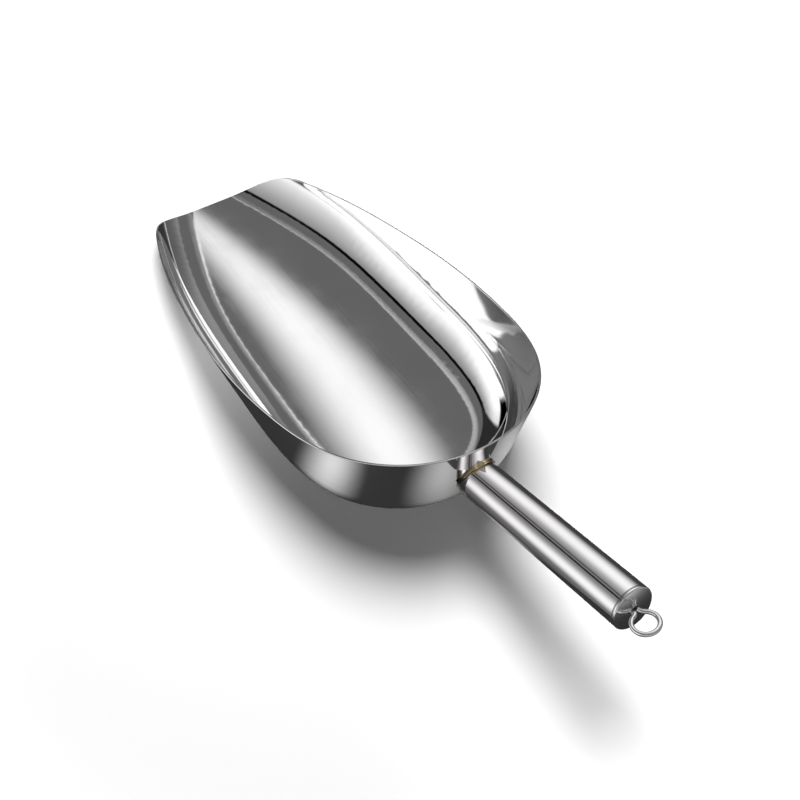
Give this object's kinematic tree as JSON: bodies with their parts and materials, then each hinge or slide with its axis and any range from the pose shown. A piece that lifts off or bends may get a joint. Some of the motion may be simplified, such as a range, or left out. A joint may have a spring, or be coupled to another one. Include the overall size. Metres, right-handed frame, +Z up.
{
  "type": "ice scoop",
  "caption": "Polished steel ice scoop: a deep pressed bowl with an obliquely trimmed rim, a raised welded tube handle, a domed end cap and a wire hanging loop that turns.",
  "frame": {"origin": "under the middle of the whole length, on the surface that the bowl stands on", "axes": "+Y towards the mouth, the handle leaves towards -Y, +Z up, X across; the scoop is the same on both sides of X = 0"},
  "size_m": [0.1386, 0.3952, 0.0715],
  "materials": {
    "bowl_steel": "mirror polished stainless sheet",
    "handle_steel": "mirror polished stainless tube",
    "weld_steel": "bright weld bead with straw heat tint",
    "cap_steel": "mirror polished stainless",
    "seam_steel": "weld ground flush and polished",
    "wire_steel": "bright drawn stainless wire",
    "retainer_steel": "plain stamped washer, hidden"
  },
  "bodies": {
    "scoop": {"scoop_bowl": "bowl_steel", "handle_tube": "handle_steel", "bowl_weld": "weld_steel", "end_cap": "cap_steel", "cap_seam": "seam_steel"},
    "loop": {"hanging_loop": "wire_steel", "loop_retainer": "retainer_steel"}
  },
  "joints": [
    {"name": "loop_swivel", "type": "hinge", "parent": "scoop", "child": "loop", "pos_m": [0, -0.18455, 0.06231], "axis": [0, -0.9613, 0.2756], "continuous": true}
  ]
}
